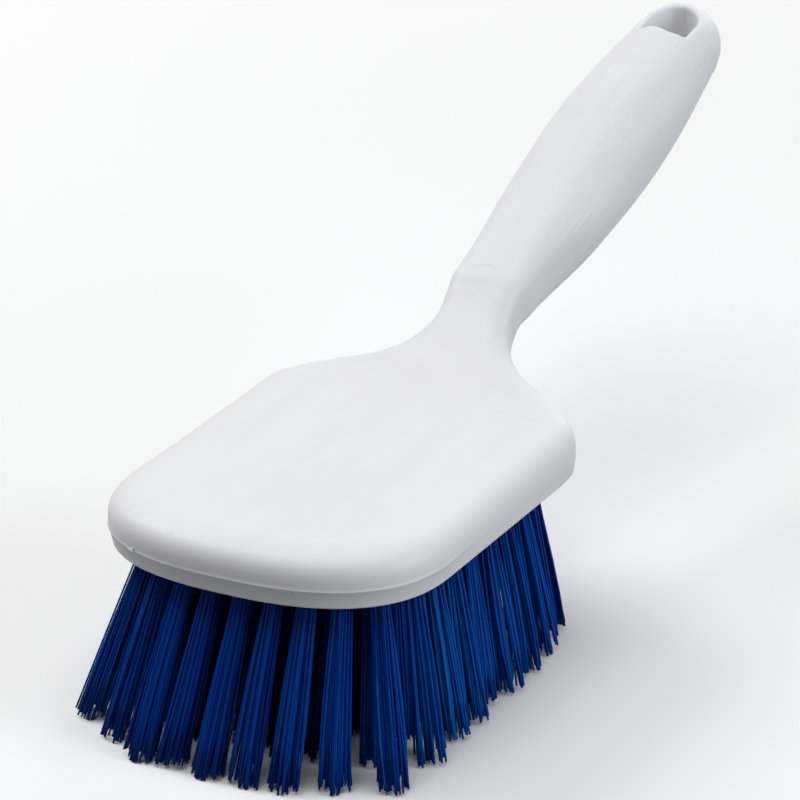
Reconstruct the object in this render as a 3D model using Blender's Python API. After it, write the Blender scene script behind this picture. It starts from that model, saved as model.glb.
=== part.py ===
"""Short-handled scrubbing brush: one moulded body and the rows of bristle tufts set in it.

Metres, +Z up. X runs across the brush, +Y runs from the front of the head to the end of
the grip, and the bristle tips rest on Z = 0. Places along Y are measured from the front of
the head, and the finished brush is moved so that the origin is under its middle.
"""

import math
import random

import bmesh
import bpy
from mathutils import Vector

# Head, the moulded block that holds the tufts
HEAD_WIDTH = 0.0884
HEAD_FRONT_DEPTH = 0.0317
HEAD_SIDE_END = 0.0840
HEAD_BACK = 0.1003
HEAD_THICKNESS = 0.0144
RIM_HEIGHT = 0.0047
TOP_EDGE_HEIGHT = 0.0096
TOP_EDGE_ACROSS = 0.0120
TOP_EDGE_ROUNDNESS = 2.7
CIRCLE_ROUNDNESS = 2.0
UNDER_EDGE_RADIUS = 0.0007
UNDER_DRAFT = 0.0007
FRONT_ROUNDNESS = 2.5

# Neck, from the back of the head to where the grip starts, with a collar at its end
NECK_START = 0.1235
NECK_END = 0.1320
NECK_WIDTH = 0.0199
NECK_THICKNESS = 0.0155
NECK_BELLY_LIFT = 0.0019
NECK_CORNER_RADIUS = 0.0048
NECK_RISE = 0.0199
COLLAR_LENGTH = 0.0043
COLLAR_WIDTH = 0.0210
COLLAR_HEIGHT = 0.0014

# Grip, which climbs away from the head
GRIP_TILT = math.radians(17.5)
GRIP_ROUND_START = 0.1270
GRIP_ROUND_END = 0.1700
GRIP_WIDEST = 0.1950
GRIP_WIDTH = 0.0315
GRIP_THICKNESS = 0.0289
GRIP_WIDEST_RISE = 0.0403
GRIP_END = 0.2512
GRIP_END_DEPTH = 0.0171
GRIP_END_WIDTH = 0.0252
GRIP_END_THICKNESS = 0.0198
GRIP_END_RISE = 0.0586
GRIP_END_ROUNDNESS = 2.15

# Hang hole, moulded straight down through the end of the grip
HOLE_WIDTH = 0.0144
HOLE_LENGTH = 0.0168
HOLE_END_WALL = 0.0090
HOLE_NEAR_DEPTH = 0.0034
HOLE_NEAR_ROUNDNESS = 2.3
HOLE_FAR_DEPTH = 0.0087
HOLE_FAR_ROUNDNESS = 2.1

# Tufts
TRIM = 0.0440
TUFT_ROWS = 9
TUFTS_PER_ROW = 9
TUFT_EDGE_INSET = 0.0088
FRONT_ROW_INSET = 0.0030
LAST_ROW_INSET = 0.0010
TUFT_BOW = 0.0100
TUFT_BOW_POWER = 3
LAST_ROW = 0.0845
TUFT_WIDTH = 0.0046
ROOT_DEPTH = 0.0080
STRAND_INSET = 0.0003
STRAND_SPREAD_SHARE = 1.0
FRONT_FLARE = 0.0165
BACK_FLARE = 0.0115
FRONT_SIDE_FLARE = 0.0115
BACK_SIDE_FLARE = 0.0040
TIP_LENGTH_SPREAD = 0.0022
TIP_CUT = 0.0005
TIP_WANDER = 0.0003
SEED = 7

# Fits and cuts
SEAT_CLEARANCE = 0.0003
OVERRUN = 0.0200
MERGE_DISTANCE = 0.00001

# Colours, linear, and surfaces
BODY_COLOR = (0.80, 0.80, 0.82)
BODY_ROUGHNESS = 0.45
TUFT_COLOR = (0.003, 0.020, 0.160)
TUFT_ROUGHNESS = 0.40

# Mesh density, in counts
FRONT_STEPS = 12
SIDE_STEPS = 3
SHOULDER_STEPS = 14
NECK_STEPS = 3
COLLAR_STEPS = 5
GRIP_STEPS = 14
END_STEPS = 9
ARC_STEPS = 5
HOLE_NEAR_STEPS = 5
HOLE_FAR_STEPS = 9
ROW_STEPS = 60

# Shoulder: shares of the way from HEAD_SIDE_END to NECK_START, and of half of HEAD_WIDTH
SHOULDER_SHARES = ((0.20, 0.990), (0.41, 0.865), (0.55, 0.710), (0.69, 0.480), (0.77, 0.370),
                   (0.89, 0.265))

# Rise of the neck: shares of the way from HEAD_BACK to NECK_END, and of NECK_RISE
NECK_RISE_SHARES = ((-0.20, 0.010), (0.0, 0.028), (0.18, 0.065), (0.40, 0.25), (0.56, 0.49),
                    (0.72, 0.74), (0.86, 0.94))

# Swell of the grip: shares of the way from NECK_END to GRIP_WIDEST, and of the swell
GRIP_SWELL_SHARES = ((0.09, 0.0), (0.25, 0.16), (0.52, 0.81))
GRIP_THICKENING_SHARES = ((0.25, 0.37), (0.52, 0.67))

# Taper of the grip: shares of the way from GRIP_WIDEST to the rounded end, and of the taper
GRIP_TAPER_SHARES = ((0.51, 0.32),)

# How far round its corner a section's arc goes before the flat or crowned middle
HEAD_ARC_END = math.radians(90.0)
GRIP_ARC_END = math.radians(75.0)
QUARTER_TURN = math.radians(90.0)


def through(knots, at):
    """Height at one place of a smooth curve through knots, with no overshoot between them."""
    if at <= knots[0][0]:
        return knots[0][1]
    if at >= knots[-1][0]:
        return knots[-1][1]
    slopes = [(b[1] - a[1]) / (b[0] - a[0]) for a, b in zip(knots, knots[1:])]
    tangents = [slopes[0]]
    for left, right in zip(slopes, slopes[1:]):
        tangents.append(2 * left * right / (left + right) if left * right > 0 else 0.0)
    tangents.append(slopes[-1])
    place = max(i for i, knot in enumerate(knots[:-1]) if knot[0] <= at)
    (x0, y0), (x1, y1) = knots[place], knots[place + 1]
    span = x1 - x0
    t = (at - x0) / span
    height = (1 - t) ** 2 * (1 + 2 * t) * y0 + t * t * (3 - 2 * t) * y1
    bend = (1 - t) ** 2 * t * tangents[place] - t * t * (1 - t) * tangents[place + 1]
    return height + span * bend


def mix(low, high, share):
    return low + (high - low) * share


def ease(at, start, end):
    """0 before start, 1 after end and smooth between."""
    share = min(max((at - start) / (end - start), 0.0), 1.0)
    return share * share * (3 - 2 * share)


def half_width(y):
    """Half the body's width in plan, behind the rounded front and ahead of the rounded end."""
    half = HEAD_WIDTH / 2
    start = COLLAR_WIDTH / 2
    widest = GRIP_WIDTH / 2
    end = GRIP_END_WIDTH / 2
    end_place = GRIP_END - GRIP_END_DEPTH
    knots = [(HEAD_FRONT_DEPTH, half), (HEAD_SIDE_END, half)]
    knots += [(mix(HEAD_SIDE_END, NECK_START, along), half * wide)
              for along, wide in SHOULDER_SHARES]
    knots += [(NECK_START, NECK_WIDTH / 2), (NECK_END, start)]
    knots += [(mix(NECK_END, GRIP_WIDEST, along), mix(start, widest, swell))
              for along, swell in GRIP_SWELL_SHARES]
    knots += [(GRIP_WIDEST, widest)]
    knots += [(mix(GRIP_WIDEST, end_place, along), mix(widest, end, taper))
              for along, taper in GRIP_TAPER_SHARES]
    knots += [(end_place, end)]
    return through(knots, y)


def rim_height(y):
    """Height of the body's widest line above the head's underside."""
    knots = [(HEAD_FRONT_DEPTH, 0.0), (HEAD_SIDE_END, 0.0)]
    knots += [(mix(HEAD_BACK, NECK_END, along), NECK_RISE * rise)
              for along, rise in NECK_RISE_SHARES]
    knots += [(NECK_END, NECK_RISE), (GRIP_WIDEST, GRIP_WIDEST_RISE), (GRIP_END, GRIP_END_RISE)]
    return RIM_HEIGHT + through(knots, y)


def tilt(y):
    return GRIP_TILT * ease(y, HEAD_BACK, NECK_END)


def half_thickness(y):
    """Half the thickness of the neck and the grip."""
    knots = [(NECK_START, NECK_THICKNESS / 2), (NECK_END, NECK_THICKNESS / 2)]
    knots += [(mix(NECK_END, GRIP_WIDEST, along),
               mix(NECK_THICKNESS, GRIP_THICKNESS, swell) / 2)
              for along, swell in GRIP_THICKENING_SHARES]
    knots += [(GRIP_WIDEST, GRIP_THICKNESS / 2), (GRIP_END, GRIP_END_THICKNESS / 2)]
    return through(knots, y)


def collar(y):
    """Step up from the neck to the grip."""
    return COLLAR_HEIGHT * ease(y, NECK_END - COLLAR_LENGTH, NECK_END)


def thickness_above(y):
    """From the widest line up to the crest."""
    neck_share = ease(y, HEAD_BACK, NECK_START)
    return mix(HEAD_THICKNESS - RIM_HEIGHT, half_thickness(y), neck_share) + collar(y)


def thickness_below(y):
    """From the widest line down to the belly, which stays level under the head."""
    neck_share = ease(y, HEAD_BACK, NECK_START)
    lift = NECK_BELLY_LIFT * (1 - ease(y, NECK_END, GRIP_ROUND_END))
    return mix(min(rim_height(y), HEAD_THICKNESS / 2), half_thickness(y) - lift, neck_share)


def rounded_quarter(width, depth, roundness, angle):
    """Point of a rounded corner that starts in the middle and ends at full width."""
    across = width * math.sin(angle) ** (2 / roundness)
    back = depth * (1 - math.cos(angle) ** (2 / roundness))
    return across, back


def plan_outline():
    """Right half of the body's plan, from the middle of the front to the end of the grip."""
    points = []
    for step in range(FRONT_STEPS):
        angle = QUARTER_TURN * step / FRONT_STEPS
        points.append(rounded_quarter(HEAD_WIDTH / 2, HEAD_FRONT_DEPTH, FRONT_ROUNDNESS, angle))
    collar_start = NECK_END - COLLAR_LENGTH
    stretches = ((HEAD_FRONT_DEPTH, HEAD_SIDE_END, SIDE_STEPS),
                 (HEAD_SIDE_END, NECK_START, SHOULDER_STEPS),
                 (NECK_START, collar_start, NECK_STEPS),
                 (collar_start, NECK_END, COLLAR_STEPS),
                 (NECK_END, GRIP_END - GRIP_END_DEPTH, GRIP_STEPS))
    for start, end, steps in stretches:
        for step in range(steps):
            y = mix(start, end, step / steps)
            points.append((half_width(y), y))
    for step in range(END_STEPS + 1):
        angle = QUARTER_TURN * (1 - step / END_STEPS)
        x, back = rounded_quarter(GRIP_END_WIDTH / 2, GRIP_END_DEPTH, GRIP_END_ROUNDNESS, angle)
        points.append((x, GRIP_END - back))
    return points


def inward_directions(outline):
    """Directions square to the outline, pointing into the body."""
    directions = [Vector((0.0, 1.0))]
    for before, after in zip(outline, outline[2:]):
        run = Vector(after) - Vector(before)
        directions.append(Vector((-run.y, run.x)).normalized())
    directions.append(Vector((0.0, -1.0)))
    return directions


def body_section(place, inward):
    """Right half of the body's section at one place of its plan, from the belly over the rim
    to the crest. The first and the last point lie on the middle plane."""
    x, y = place
    lean = tilt(y)
    along = Vector((0.0, math.cos(lean), math.sin(lean)))
    up = Vector((0.0, -math.sin(lean), math.cos(lean)))
    rim = Vector((x, y, TRIM + rim_height(y)))
    inside = Vector((inward.x, 0.0, 0.0)) + along * inward.y

    above = thickness_above(y)
    below = thickness_below(y)
    neck_share = ease(y, HEAD_SIDE_END, NECK_END)
    grip_share = ease(y, GRIP_ROUND_START, GRIP_ROUND_END)
    arc_end = mix(HEAD_ARC_END, GRIP_ARC_END, grip_share)
    swing = 2 / mix(TOP_EDGE_ROUNDNESS, CIRCLE_ROUNDNESS, neck_share)
    edge_across = mix(TOP_EDGE_ACROSS, NECK_CORNER_RADIUS, neck_share)
    edge_rise = mix(TOP_EDGE_HEIGHT, NECK_CORNER_RADIUS, neck_share)
    under_radius = mix(UNDER_EDGE_RADIUS, NECK_CORNER_RADIUS, neck_share)
    top_across = mix(edge_across, half_width(y), grip_share)
    top_rise = mix(edge_rise, above, grip_share)
    under_across = mix(under_radius, half_width(y), grip_share)
    under_rise = mix(min(under_radius, below), below, grip_share)
    draft = UNDER_DRAFT * (1 - neck_share)

    arc = [arc_end * step / ARC_STEPS for step in range(ARC_STEPS + 1)]
    under = [rim + inside * (draft + under_across * (1 - math.cos(angle)))
             - up * (below - under_rise * (1 - math.sin(angle))) for angle in reversed(arc)]
    top = [rim + inside * (top_across * (1 - max(math.cos(angle), 0.0) ** swing))
           + up * (above - top_rise * (1 - math.sin(angle) ** swing)) for angle in arc]
    belly = under[0] - up * under_rise * (1 - math.sin(arc_end))
    crest = top[-1] + up * top_rise * (1 - math.sin(arc_end) ** swing)
    belly.x = 0.0
    crest.x = 0.0
    return [belly] + under + [rim] + top + [crest]


def new_object(name, mesh_data, material=None):
    mesh = bpy.data.meshes.new(name)
    mesh_data.to_mesh(mesh)
    mesh_data.free()
    thing = bpy.data.objects.new(name, mesh)
    bpy.context.scene.collection.objects.link(thing)
    if material:
        mesh.materials.append(material)
    return thing


def plastic(name, color, roughness):
    material = bpy.data.materials.new(name)
    material.use_nodes = True
    shader = material.node_tree.nodes["Principled BSDF"]
    shader.inputs["Base Color"].default_value = (*color, 1.0)
    shader.inputs["Roughness"].default_value = roughness
    shader.inputs["Metallic"].default_value = 0.0
    return material


def make_cutter(name, mesh_data):
    cutter = new_object(name, mesh_data)
    cutter.hide_render = True
    cutter.display_type = 'WIRE'
    return cutter


def cut(thing, cutter):
    modifier = thing.modifiers.new(cutter.name, 'BOOLEAN')
    modifier.operation = 'DIFFERENCE'
    modifier.solver = 'EXACT'
    modifier.object = cutter


def make_body(material):
    outline = plan_outline()
    bm = bmesh.new()
    rows = []
    for place, inward in zip(outline, inward_directions(outline)):
        rows.append([bm.verts.new(point) for point in body_section(place, inward)])
    for near, far in zip(rows, rows[1:]):
        for i in range(len(near) - 1):
            bm.faces.new((near[i], far[i], far[i + 1], near[i + 1]))
    bmesh.ops.mirror(bm, geom=bm.verts[:] + bm.edges[:] + bm.faces[:], axis='X',
                     merge_dist=MERGE_DISTANCE)
    bmesh.ops.remove_doubles(bm, verts=bm.verts, dist=MERGE_DISTANCE)
    bmesh.ops.dissolve_degenerate(bm, edges=bm.edges, dist=MERGE_DISTANCE)
    bmesh.ops.recalc_face_normals(bm, faces=bm.faces)
    body = new_object("brush_body", bm, material)
    body.data.shade_smooth()
    cutters = [make_cutter("hang_hole_cutter", hang_hole_prism())]
    for row in range(TUFT_ROWS):
        slot, _ = root_bar(row, SEAT_CLEARANCE, OVERRUN)
        cutters.append(make_cutter(f"root_slot_cutter_{row + 1:02d}", slot))
    for cutter in cutters:
        cut(body, cutter)
    return body, cutters


def hang_hole_prism():
    """Upright prism, nearly flat towards the head and round towards the end of the grip."""
    far = GRIP_END - HOLE_END_WALL
    near = far - HOLE_LENGTH
    half = HOLE_WIDTH / 2
    right = []
    for step in range(HOLE_FAR_STEPS + 1):
        angle = QUARTER_TURN * step / HOLE_FAR_STEPS
        x, back = rounded_quarter(half, HOLE_FAR_DEPTH, HOLE_FAR_ROUNDNESS, angle)
        right.append((x, far - back))
    for step in range(HOLE_NEAR_STEPS + 1):
        angle = QUARTER_TURN * (1 - step / HOLE_NEAR_STEPS)
        x, back = rounded_quarter(half, HOLE_NEAR_DEPTH, HOLE_NEAR_ROUNDNESS, angle)
        right.append((x, near + back))
    outline = right + [(-x, y) for x, y in reversed(right[1:-1])]
    bm = bmesh.new()
    floor = bm.faces.new([bm.verts.new((x, y, TRIM)) for x, y in outline])
    top = bmesh.ops.extrude_face_region(bm, geom=[floor], use_keep_orig=True)["geom"]
    reach = Vector((0.0, 0.0, RIM_HEIGHT + GRIP_END_RISE + GRIP_END_THICKNESS + OVERRUN))
    bmesh.ops.translate(bm, verts=[v for v in top if isinstance(v, bmesh.types.BMVert)],
                        vec=reach)
    bmesh.ops.recalc_face_normals(bm, faces=bm.faces)
    return bm


def row_point(row, x):
    """Place in plan on a row's middle line, bowed like the front edge and straight at the back."""
    back_share = row / (TUFT_ROWS - 1)
    reach = HEAD_WIDTH / 2 - TUFT_EDGE_INSET
    bow = TUFT_BOW * (1 - back_share) * (abs(x) / reach) ** TUFT_BOW_POWER
    return Vector((x, mix(TUFT_EDGE_INSET, LAST_ROW, back_share) + bow, 0.0))


def tuft_places(row):
    """Centre and direction of each tuft, evenly spaced along the row's bowed line."""
    half = HEAD_WIDTH / 2 - TUFT_EDGE_INSET
    if row == 0:
        half -= FRONT_ROW_INSET
    if row == TUFT_ROWS - 1:
        half -= LAST_ROW_INSET
    line = [row_point(row, mix(-half, half, step / ROW_STEPS)) for step in range(ROW_STEPS + 1)]
    lengths = [0.0]
    for start, end in zip(line, line[1:]):
        lengths.append(lengths[-1] + (end - start).length)
    places = []
    for tuft in range(TUFTS_PER_ROW):
        wanted = lengths[-1] * tuft / (TUFTS_PER_ROW - 1)
        step = max(i for i in range(ROW_STEPS) if lengths[i] <= wanted)
        share = (wanted - lengths[step]) / (lengths[step + 1] - lengths[step])
        direction = (line[step + 1] - line[step]).normalized()
        places.append((line[step].lerp(line[step + 1], share), direction))
    return places


def root_bar(row, clearance=0.0, reach_down=0.0):
    """Strip of the backing that one row's tufts are fused to, and the cells of its underside
    that the strands grow from, each with the centre of its tuft."""
    bm = bmesh.new()
    half = TUFT_WIDTH / 2
    places = tuft_places(row)
    lines = []
    for place in places:
        centre, direction = place
        side = Vector((-direction.y, direction.x, 0.0))
        for along in (-half, 0.0, half):
            if place is places[0] and along < 0:
                along -= clearance
            if place is places[-1] and along > 0:
                along += clearance
            middle = centre + direction * along
            middle.z = TRIM - reach_down
            lines.append([bm.verts.new(middle + side * across)
                          for across in (-half - clearance, 0.0, half + clearance)])
    floor = []
    cells = []
    for number, (near, far) in enumerate(zip(lines, lines[1:])):
        for i in range(2):
            face = bm.faces.new((near[i], far[i], far[i + 1], near[i + 1]))
            floor.append(face)
            if number % 3 != 2:
                cells.append((face, places[number // 3][0]))
    top = bmesh.ops.extrude_face_region(bm, geom=floor, use_keep_orig=True)["geom"]
    rise = Vector((0.0, 0.0, ROOT_DEPTH + clearance + reach_down))
    bmesh.ops.translate(bm, verts=[v for v in top if isinstance(v, bmesh.types.BMVert)], vec=rise)
    bmesh.ops.recalc_face_normals(bm, faces=bm.faces)
    return bm, cells


def flared(place):
    """Where a tuft rooted at this place has its middle at the tips."""
    reach = HEAD_WIDTH / 2 - TUFT_EDGE_INSET
    middle = mix(TUFT_EDGE_INSET, LAST_ROW, 0.5)
    sideways = place.x / reach
    backwards = (place.y - middle) / (LAST_ROW - middle)
    back_share = (place.y - TUFT_EDGE_INSET) / (LAST_ROW - TUFT_EDGE_INSET)
    side_flare = mix(FRONT_SIDE_FLARE, BACK_SIDE_FLARE, back_share)
    flare = BACK_FLARE if backwards > 0 else FRONT_FLARE
    return place + Vector((side_flare * sideways * abs(sideways),
                           flare * backwards * abs(backwards), 0.0))


def make_tuft_row(row, material, chance):
    bm, cells = root_bar(row)
    bmesh.ops.inset_individual(bm, faces=[face for face, _ in cells], thickness=STRAND_INSET)
    for face, tuft in cells:
        centre = face.calc_center_median()
        tip = flared(tuft) + (centre - tuft) * (1 + STRAND_SPREAD_SHARE)
        tip.x += chance.uniform(-TIP_WANDER, TIP_WANDER)
        tip.y += chance.uniform(-TIP_WANDER, TIP_WANDER)
        tip.z = max(chance.uniform(0.0, TIP_LENGTH_SPREAD) - TIP_CUT, 0.0)
        root = face.verts[:]
        end = [bm.verts.new(tip + vert.co - centre) for vert in root]
        bm.faces.remove(face)
        bm.faces.new(end)
        for i in range(len(root)):
            after = (i + 1) % len(root)
            bm.faces.new((root[i], root[after], end[after], end[i]))
    bmesh.ops.recalc_face_normals(bm, faces=bm.faces)
    return new_object(f"tuft_row_{row + 1:02d}", bm, material)


def stand_on_origin(things, cutters):
    """Carries everything on one empty that puts the origin under the middle of the brush."""
    tips = [vert.co.y for thing in things for vert in thing.data.vertices]
    carrier = bpy.data.objects.new("brush", None)
    bpy.context.scene.collection.objects.link(carrier)
    carrier.location.y = -mix(min(tips), max(tips), 0.5)
    for thing in things + cutters:
        thing.parent = carrier


def main():
    for thing in list(bpy.data.objects):
        bpy.data.objects.remove(thing, do_unlink=True)
    chance = random.Random(SEED)
    body, cutters = make_body(plastic("white_polypropylene", BODY_COLOR, BODY_ROUGHNESS))
    blue = plastic("blue_polyester", TUFT_COLOR, TUFT_ROUGHNESS)
    rows = [make_tuft_row(row, blue, chance) for row in range(TUFT_ROWS)]
    stand_on_origin([body] + rows, cutters)


main()
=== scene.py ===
import math
import random

import bmesh
import bpy
from mathutils import Matrix, Vector, noise
from mathutils.bvhtree import BVHTree


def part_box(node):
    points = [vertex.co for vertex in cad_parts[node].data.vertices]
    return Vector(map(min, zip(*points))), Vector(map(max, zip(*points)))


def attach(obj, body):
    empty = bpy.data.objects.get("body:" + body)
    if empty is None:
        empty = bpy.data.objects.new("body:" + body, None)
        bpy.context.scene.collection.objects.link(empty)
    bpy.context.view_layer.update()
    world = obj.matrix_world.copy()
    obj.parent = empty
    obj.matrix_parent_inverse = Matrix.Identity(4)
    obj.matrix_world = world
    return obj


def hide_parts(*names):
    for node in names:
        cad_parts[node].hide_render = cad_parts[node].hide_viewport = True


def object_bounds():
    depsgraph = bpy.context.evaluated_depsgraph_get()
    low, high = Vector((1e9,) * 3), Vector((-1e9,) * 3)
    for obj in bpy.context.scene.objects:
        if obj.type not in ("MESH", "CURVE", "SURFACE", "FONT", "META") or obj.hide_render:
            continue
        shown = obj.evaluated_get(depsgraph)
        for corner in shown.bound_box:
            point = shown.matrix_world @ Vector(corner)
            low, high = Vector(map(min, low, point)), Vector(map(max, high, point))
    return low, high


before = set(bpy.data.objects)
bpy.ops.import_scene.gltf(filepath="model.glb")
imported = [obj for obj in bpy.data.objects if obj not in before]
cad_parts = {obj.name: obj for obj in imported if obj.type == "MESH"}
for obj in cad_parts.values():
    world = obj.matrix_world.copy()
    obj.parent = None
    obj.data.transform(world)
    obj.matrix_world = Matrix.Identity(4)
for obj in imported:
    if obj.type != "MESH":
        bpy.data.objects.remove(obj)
cadLow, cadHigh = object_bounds()
mm = 0.001
# lengths along the brush are measured from the front of the head
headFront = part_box("brush_body")[0].y
rootDepth = 8.0 * mm  # the tufts are set this deep in the underside
# heights are measured from the underside
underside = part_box("tuft_row_01")[1].z - rootDepth
print("frame loaded")


# shared helpers

def addNode(tree, kind, settings=None, links=None):
    made = tree.nodes.new(kind)
    for name, value in (settings or {}).items():
        if isinstance(name, int) or name in made.inputs:
            made.inputs[name].default_value = value
        else:
            setattr(made, name, value)
    for name, source in (links or {}).items():
        tree.links.new(source, made.inputs[name])
    return made


def linear(hexColor):
    channels = [int(hexColor[i:i + 2], 16) / 255 for i in (1, 3, 5)]
    return tuple(c / 12.92 if c <= 0.04045 else ((c + 0.055) / 1.055) ** 2.4
                 for c in channels) + (1.0,)


def newMaterial(name):
    material = bpy.data.materials.new(name)
    material.use_nodes = True
    tree = material.node_tree
    shader = tree.nodes["Principled BSDF"]
    return material, tree, shader


def newPiece(name, bm, material):
    mesh = bpy.data.meshes.new(name)
    bm.to_mesh(mesh)
    bm.free()
    piece = bpy.data.objects.new(name, mesh)
    bpy.context.scene.collection.objects.link(piece)
    if material:
        mesh.materials.append(material)
    mesh.shade_smooth()
    return piece


def mix(low, high, share):
    return low + (high - low) * share


def ease(at, start, end):
    share = min(max((at - start) / (end - start), 0.0), 1.0)
    return share * share * (3 - 2 * share)


def through(knots, at):
    # height of a smooth curve through knots that never overshoots between them
    if at <= knots[0][0]:
        return knots[0][1]
    if at >= knots[-1][0]:
        return knots[-1][1]
    slopes = [(b[1] - a[1]) / (b[0] - a[0]) for a, b in zip(knots, knots[1:])]
    tangents = [slopes[0]]
    for left, right in zip(slopes, slopes[1:]):
        tangents.append(2 * left * right / (left + right) if left * right > 0 else 0.0)
    tangents.append(slopes[-1])
    place = max(i for i, knot in enumerate(knots[:-1]) if knot[0] <= at)
    (x0, y0), (x1, y1) = knots[place], knots[place + 1]
    span = x1 - x0
    t = (at - x0) / span
    return ((1 - t) ** 2 * (1 + 2 * t) * y0 + t * t * (3 - 2 * t) * y1
            + span * ((1 - t) ** 2 * t * tangents[place] - t * t * (1 - t) * tangents[place + 1]))


# camera, at the photograph's viewing angle

camera = {
    "fromHeadFront": (0.43528, -0.64101, 0.42551),
    "turn": (66.5846, 2.3088, 29.9792),
    "lens": 169.47, "sensor": 36.0, "clip": (0.05, 20.0),
}

lens = bpy.data.cameras.new("camera")
lens.lens = camera["lens"]
lens.sensor_width = camera["sensor"]
lens.clip_start, lens.clip_end = camera["clip"]
shot = bpy.data.objects.new("camera", lens)
shot.location = Vector((0.0, headFront, 0.0)) + Vector(camera["fromHeadFront"])
shot.rotation_euler = [math.radians(a) for a in camera["turn"]]
bpy.context.scene.collection.objects.link(shot)
bpy.context.scene.camera = shot
print("camera placed")


# light and floor

studio = {
    "world": 0.06, "worldColor": "#FFFFFF",
    "lampsFace": (0.0, 0.0, 0.06),  # the middle of the brush
    "lamps": {  # round soft boxes
        "overhead": {"place": (0.0, -0.35, 1.55), "size": 1.6, "power": 12.9, "color": "#FFFFFF"},
        "leftSide": {"place": (-1.2, 0.0, 1.2), "size": 1.0, "power": 12.5, "color": "#FFFFFF"},
        "rightSide": {"place": (1.5, 0.0, 0.6), "size": 1.0, "power": 12.2, "color": "#F6F8FF"},
        "behind": {"place": (0.0, 1.6, 0.6), "size": 1.0, "power": 5.0, "color": "#FFFFFF"},
    },
    "backdrop": "#FFFFFF",
    "floor": "#FFFFFF", "floorSize": 6.0,
    "floorBounce": "#8C8C8E",  # what the brush gets back from the floor
    "whiteFrom": 0.28, "whiteTo": 0.75,  # away from the brush the floor fades to plain white
}

scene = bpy.context.scene
scene.view_settings.view_transform = 'Standard'


def seenRays(tree):
    # 1 for what the eye sees, straight or in a reflection, and 0 for light on its way
    rays = addNode(tree, "ShaderNodeLightPath")
    mirrored = addNode(tree, "ShaderNodeMath", {"operation": 'MAXIMUM'},
                       {0: rays.outputs["Is Glossy Ray"], 1: rays.outputs["Is Transmission Ray"]})
    return addNode(tree, "ShaderNodeMath", {"operation": 'MAXIMUM'},
                   {0: rays.outputs["Is Camera Ray"], 1: mirrored.outputs[0]})


world = bpy.data.worlds.new("studio")
scene.world = world
world.use_nodes = True
tree = world.node_tree
tree.nodes.clear()
soft = addNode(tree, "ShaderNodeBackground", {"Color": linear(studio["worldColor"]),
                                                "Strength": studio["world"]})
white = addNode(tree, "ShaderNodeBackground", {"Color": linear(studio["backdrop"]), "Strength": 1.0})
both = addNode(tree, "ShaderNodeMixShader", {},
               {0: seenRays(tree).outputs[0], 1: soft.outputs[0], 2: white.outputs[0]})
addNode(tree, "ShaderNodeOutputWorld", {}, {"Surface": both.outputs[0]})

for name, setting in studio["lamps"].items():
    light = bpy.data.lights.new(name, 'AREA')
    light.shape = 'DISK'
    light.size = setting["size"]
    light.energy = setting["power"]
    light.color = linear(setting["color"])[:3]
    lamp = bpy.data.objects.new(name, light)
    lamp.location = setting["place"]
    facing = Vector(studio["lampsFace"]) - lamp.location
    lamp.rotation_euler = facing.to_track_quat('-Z', 'Y').to_euler()
    scene.collection.objects.link(lamp)

floorPaint, tree, shader = newMaterial("floorPaint")
shader.inputs["Roughness"].default_value = 1.0
shader.inputs["Specular IOR Level"].default_value = 0.0
paint = addNode(tree, "ShaderNodeMix", {"data_type": 'RGBA', 6: linear(studio["floorBounce"]),
                                        7: linear(studio["floor"])}, {0: seenRays(tree).outputs[0]})
tree.links.new(paint.outputs[2], shader.inputs["Base Color"])
away = addNode(tree, "ShaderNodeVectorMath", {"operation": 'LENGTH'},
               {0: addNode(tree, "ShaderNodeTexCoord").outputs["Object"]})
fade = addNode(tree, "ShaderNodeMapRange", {"interpolation_type": 'SMOOTHSTEP',
                                            1: studio["whiteFrom"], 2: studio["whiteTo"]},
               {0: away.outputs["Value"]})
seenFade = addNode(tree, "ShaderNodeMath", {"operation": 'MULTIPLY'},
                   {0: fade.outputs[0], 1: seenRays(tree).outputs[0]})
plain = addNode(tree, "ShaderNodeEmission", {"Color": linear(studio["backdrop"]), "Strength": 1.0})
both = addNode(tree, "ShaderNodeMixShader", {},
               {0: seenFade.outputs[0], 1: shader.outputs[0], 2: plain.outputs[0]})
tree.links.new(both.outputs[0], tree.nodes["Material Output"].inputs["Surface"])
bm = bmesh.new()
bmesh.ops.create_grid(bm, x_segments=2, y_segments=2, size=studio["floorSize"])
floor = newPiece("floor", bm, floorPaint)
print("stage set")


# moulded body

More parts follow.
